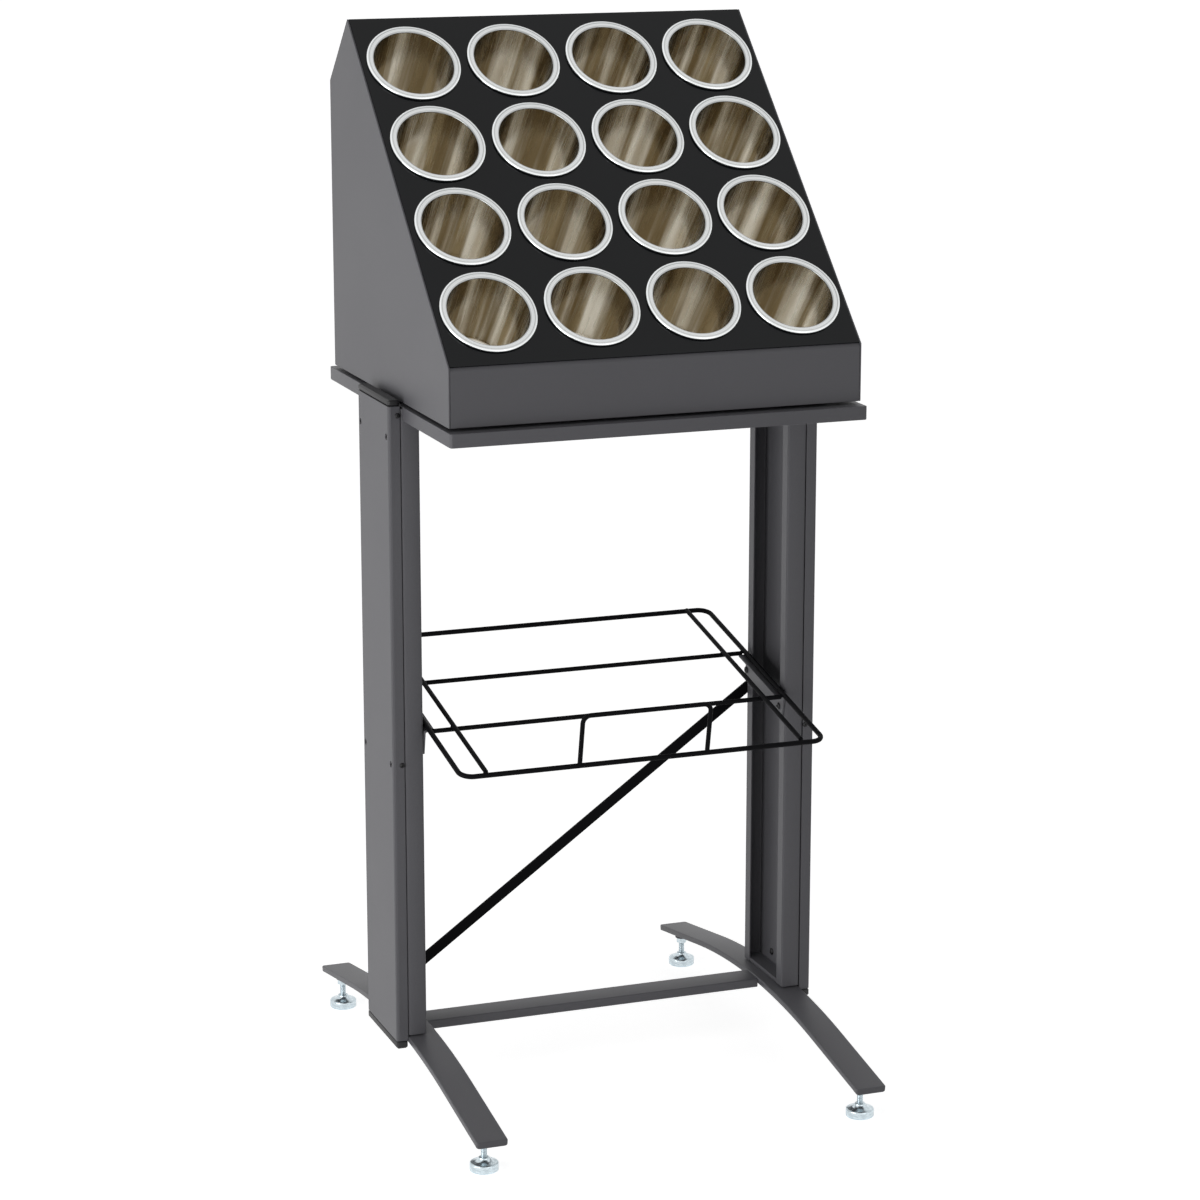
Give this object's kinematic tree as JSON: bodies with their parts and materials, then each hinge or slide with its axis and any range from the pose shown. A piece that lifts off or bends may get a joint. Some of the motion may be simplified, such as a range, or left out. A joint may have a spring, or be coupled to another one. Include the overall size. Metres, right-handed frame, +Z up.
{
  "type": "condiment station",
  "caption": "Free-standing condiment station: a wedge cabinet whose sloping faceplate holds lift-out steel cups, on a post stand with a wire basket, arched feet and levelling screws.",
  "frame": {"origin": "on the floor, under the middle of the stand", "axes": "+Z up, -Y towards the person who stands in front of the sloping faceplate, +X to that person's right"},
  "size_m": [0.5726, 0.68, 1.3564],
  "materials": {
    "grey_paint": "charcoal grey powder coat, satin",
    "black_gloss": "black paint, glossy",
    "black_satin": "black powder coat, satin",
    "stainless": "stainless steel, brushed inside, bright rim",
    "black_plastic": "moulded, satin",
    "rubber": "matt black",
    "zinc": "zinc plated"
  },
  "bodies": {
    "station": {"faceplate": "black_gloss", "side_left": "grey_paint", "side_right": "grey_paint", "apron": "grey_paint", "back_panel": "grey_paint", "base_pan": "grey_paint", "cabinet_foot_front_left": "rubber", "cabinet_foot_front_right": "rubber", "cabinet_foot_rear_left": "rubber", "cabinet_foot_rear_right": "rubber", "shelf": "grey_paint", "post_left": "grey_paint", "cover_left": "grey_paint", "cap_top_left": "black_plastic", "cap_bottom_left": "black_plastic", "foot_bar_left": "grey_paint", "post_right": "grey_paint", "cover_right": "grey_paint", "cap_top_right": "black_plastic", "cap_bottom_right": "black_plastic", "foot_bar_right": "grey_paint", "crossbar": "grey_paint", "brace": "black_satin", "lock_nut_front_left": "zinc", "lock_nut_front_right": "zinc", "lock_nut_rear_left": "zinc", "lock_nut_rear_right": "zinc", "basket_frame": "black_satin", "basket_cross_wire_1": "black_satin", "basket_cross_wire_2": "black_satin", "basket_side_wire_left": "black_satin", "basket_bracket_left": "grey_paint", "basket_side_wire_right": "black_satin", "basket_bracket_right": "grey_paint", "basket_stop": "black_satin"},
    "cup_1_1": {"cup_1_1": "stainless"},
    "cup_1_2": {"cup_1_2": "stainless"},
    "cup_1_3": {"cup_1_3": "stainless"},
    "cup_1_4": {"cup_1_4": "stainless"},
    "cup_2_1": {"cup_2_1": "stainless"},
    "cup_2_2": {"cup_2_2": "stainless"},
    "cup_2_3": {"cup_2_3": "stainless"},
    "cup_2_4": {"cup_2_4": "stainless"},
    "cup_3_1": {"cup_3_1": "stainless"},
    "cup_3_2": {"cup_3_2": "stainless"},
    "cup_3_3": {"cup_3_3": "stainless"},
    "cup_3_4": {"cup_3_4": "stainless"},
    "cup_4_1": {"cup_4_1": "stainless"},
    "cup_4_2": {"cup_4_2": "stainless"},
    "cup_4_3": {"cup_4_3": "stainless"},
    "cup_4_4": {"cup_4_4": "stainless"},
    "leveller_front_left": {"pad_front_left": "zinc", "stud_front_left": "zinc"},
    "leveller_front_right": {"pad_front_right": "zinc", "stud_front_right": "zinc"},
    "leveller_rear_left": {"pad_rear_left": "zinc", "stud_rear_left": "zinc"},
    "leveller_rear_right": {"pad_rear_right": "zinc", "stud_rear_right": "zinc"}
  },
  "joints": [
    {"name": "cup_1_1_lift", "type": "slide", "parent": "station", "child": "cup_1_1", "axis": [0, -0.6884, 0.7254], "range_m": [0, 0.13]},
    {"name": "cup_1_2_lift", "type": "slide", "parent": "station", "child": "cup_1_2", "axis": [0, -0.6884, 0.7254], "range_m": [0, 0.13]},
    {"name": "cup_1_3_lift", "type": "slide", "parent": "station", "child": "cup_1_3", "axis": [0, -0.6884, 0.7254], "range_m": [0, 0.13]},
    {"name": "cup_1_4_lift", "type": "slide", "parent": "station", "child": "cup_1_4", "axis": [0, -0.6884, 0.7254], "range_m": [0, 0.13]},
    {"name": "cup_2_1_lift", "type": "slide", "parent": "station", "child": "cup_2_1", "axis": [0, -0.6884, 0.7254], "range_m": [0, 0.13]},
    {"name": "cup_2_2_lift", "type": "slide", "parent": "station", "child": "cup_2_2", "axis": [0, -0.6884, 0.7254], "range_m": [0, 0.13]},
    {"name": "cup_2_3_lift", "type": "slide", "parent": "station", "child": "cup_2_3", "axis": [0, -0.6884, 0.7254], "range_m": [0, 0.13]},
    {"name": "cup_2_4_lift", "type": "slide", "parent": "station", "child": "cup_2_4", "axis": [0, -0.6884, 0.7254], "range_m": [0, 0.13]},
    {"name": "cup_3_1_lift", "type": "slide", "parent": "station", "child": "cup_3_1", "axis": [0, -0.6884, 0.7254], "range_m": [0, 0.13]},
    {"name": "cup_3_2_lift", "type": "slide", "parent": "station", "child": "cup_3_2", "axis": [0, -0.6884, 0.7254], "range_m": [0, 0.13]},
    {"name": "cup_3_3_lift", "type": "slide", "parent": "station", "child": "cup_3_3", "axis": [0, -0.6884, 0.7254], "range_m": [0, 0.13]},
    {"name": "cup_3_4_lift", "type": "slide", "parent": "station", "child": "cup_3_4", "axis": [0, -0.6884, 0.7254], "range_m": [0, 0.13]},
    {"name": "cup_4_1_lift", "type": "slide", "parent": "station", "child": "cup_4_1", "axis": [0, -0.6884, 0.7254], "range_m": [0, 0.13]},
    {"name": "cup_4_2_lift", "type": "slide", "parent": "station", "child": "cup_4_2", "axis": [0, -0.6884, 0.7254], "range_m": [0, 0.13]},
    {"name": "cup_4_3_lift", "type": "slide", "parent": "station", "child": "cup_4_3", "axis": [0, -0.6884, 0.7254], "range_m": [0, 0.13]},
    {"name": "cup_4_4_lift", "type": "slide", "parent": "station", "child": "cup_4_4", "axis": [0, -0.6884, 0.7254], "range_m": [0, 0.13]},
    {"name": "level_front_left", "type": "slide", "parent": "station", "child": "leveller_front_left", "axis": [0, 0, 1], "range_m": [-0.005, 0.005]},
    {"name": "level_front_right", "type": "slide", "parent": "station", "child": "leveller_front_right", "axis": [0, 0, 1], "range_m": [-0.005, 0.005]},
    {"name": "level_rear_left", "type": "slide", "parent": "station", "child": "leveller_rear_left", "axis": [0, 0, 1], "range_m": [-0.005, 0.005]},
    {"name": "level_rear_right", "type": "slide", "parent": "station", "child": "leveller_rear_right", "axis": [0, 0, 1], "range_m": [-0.005, 0.005]}
  ]
}
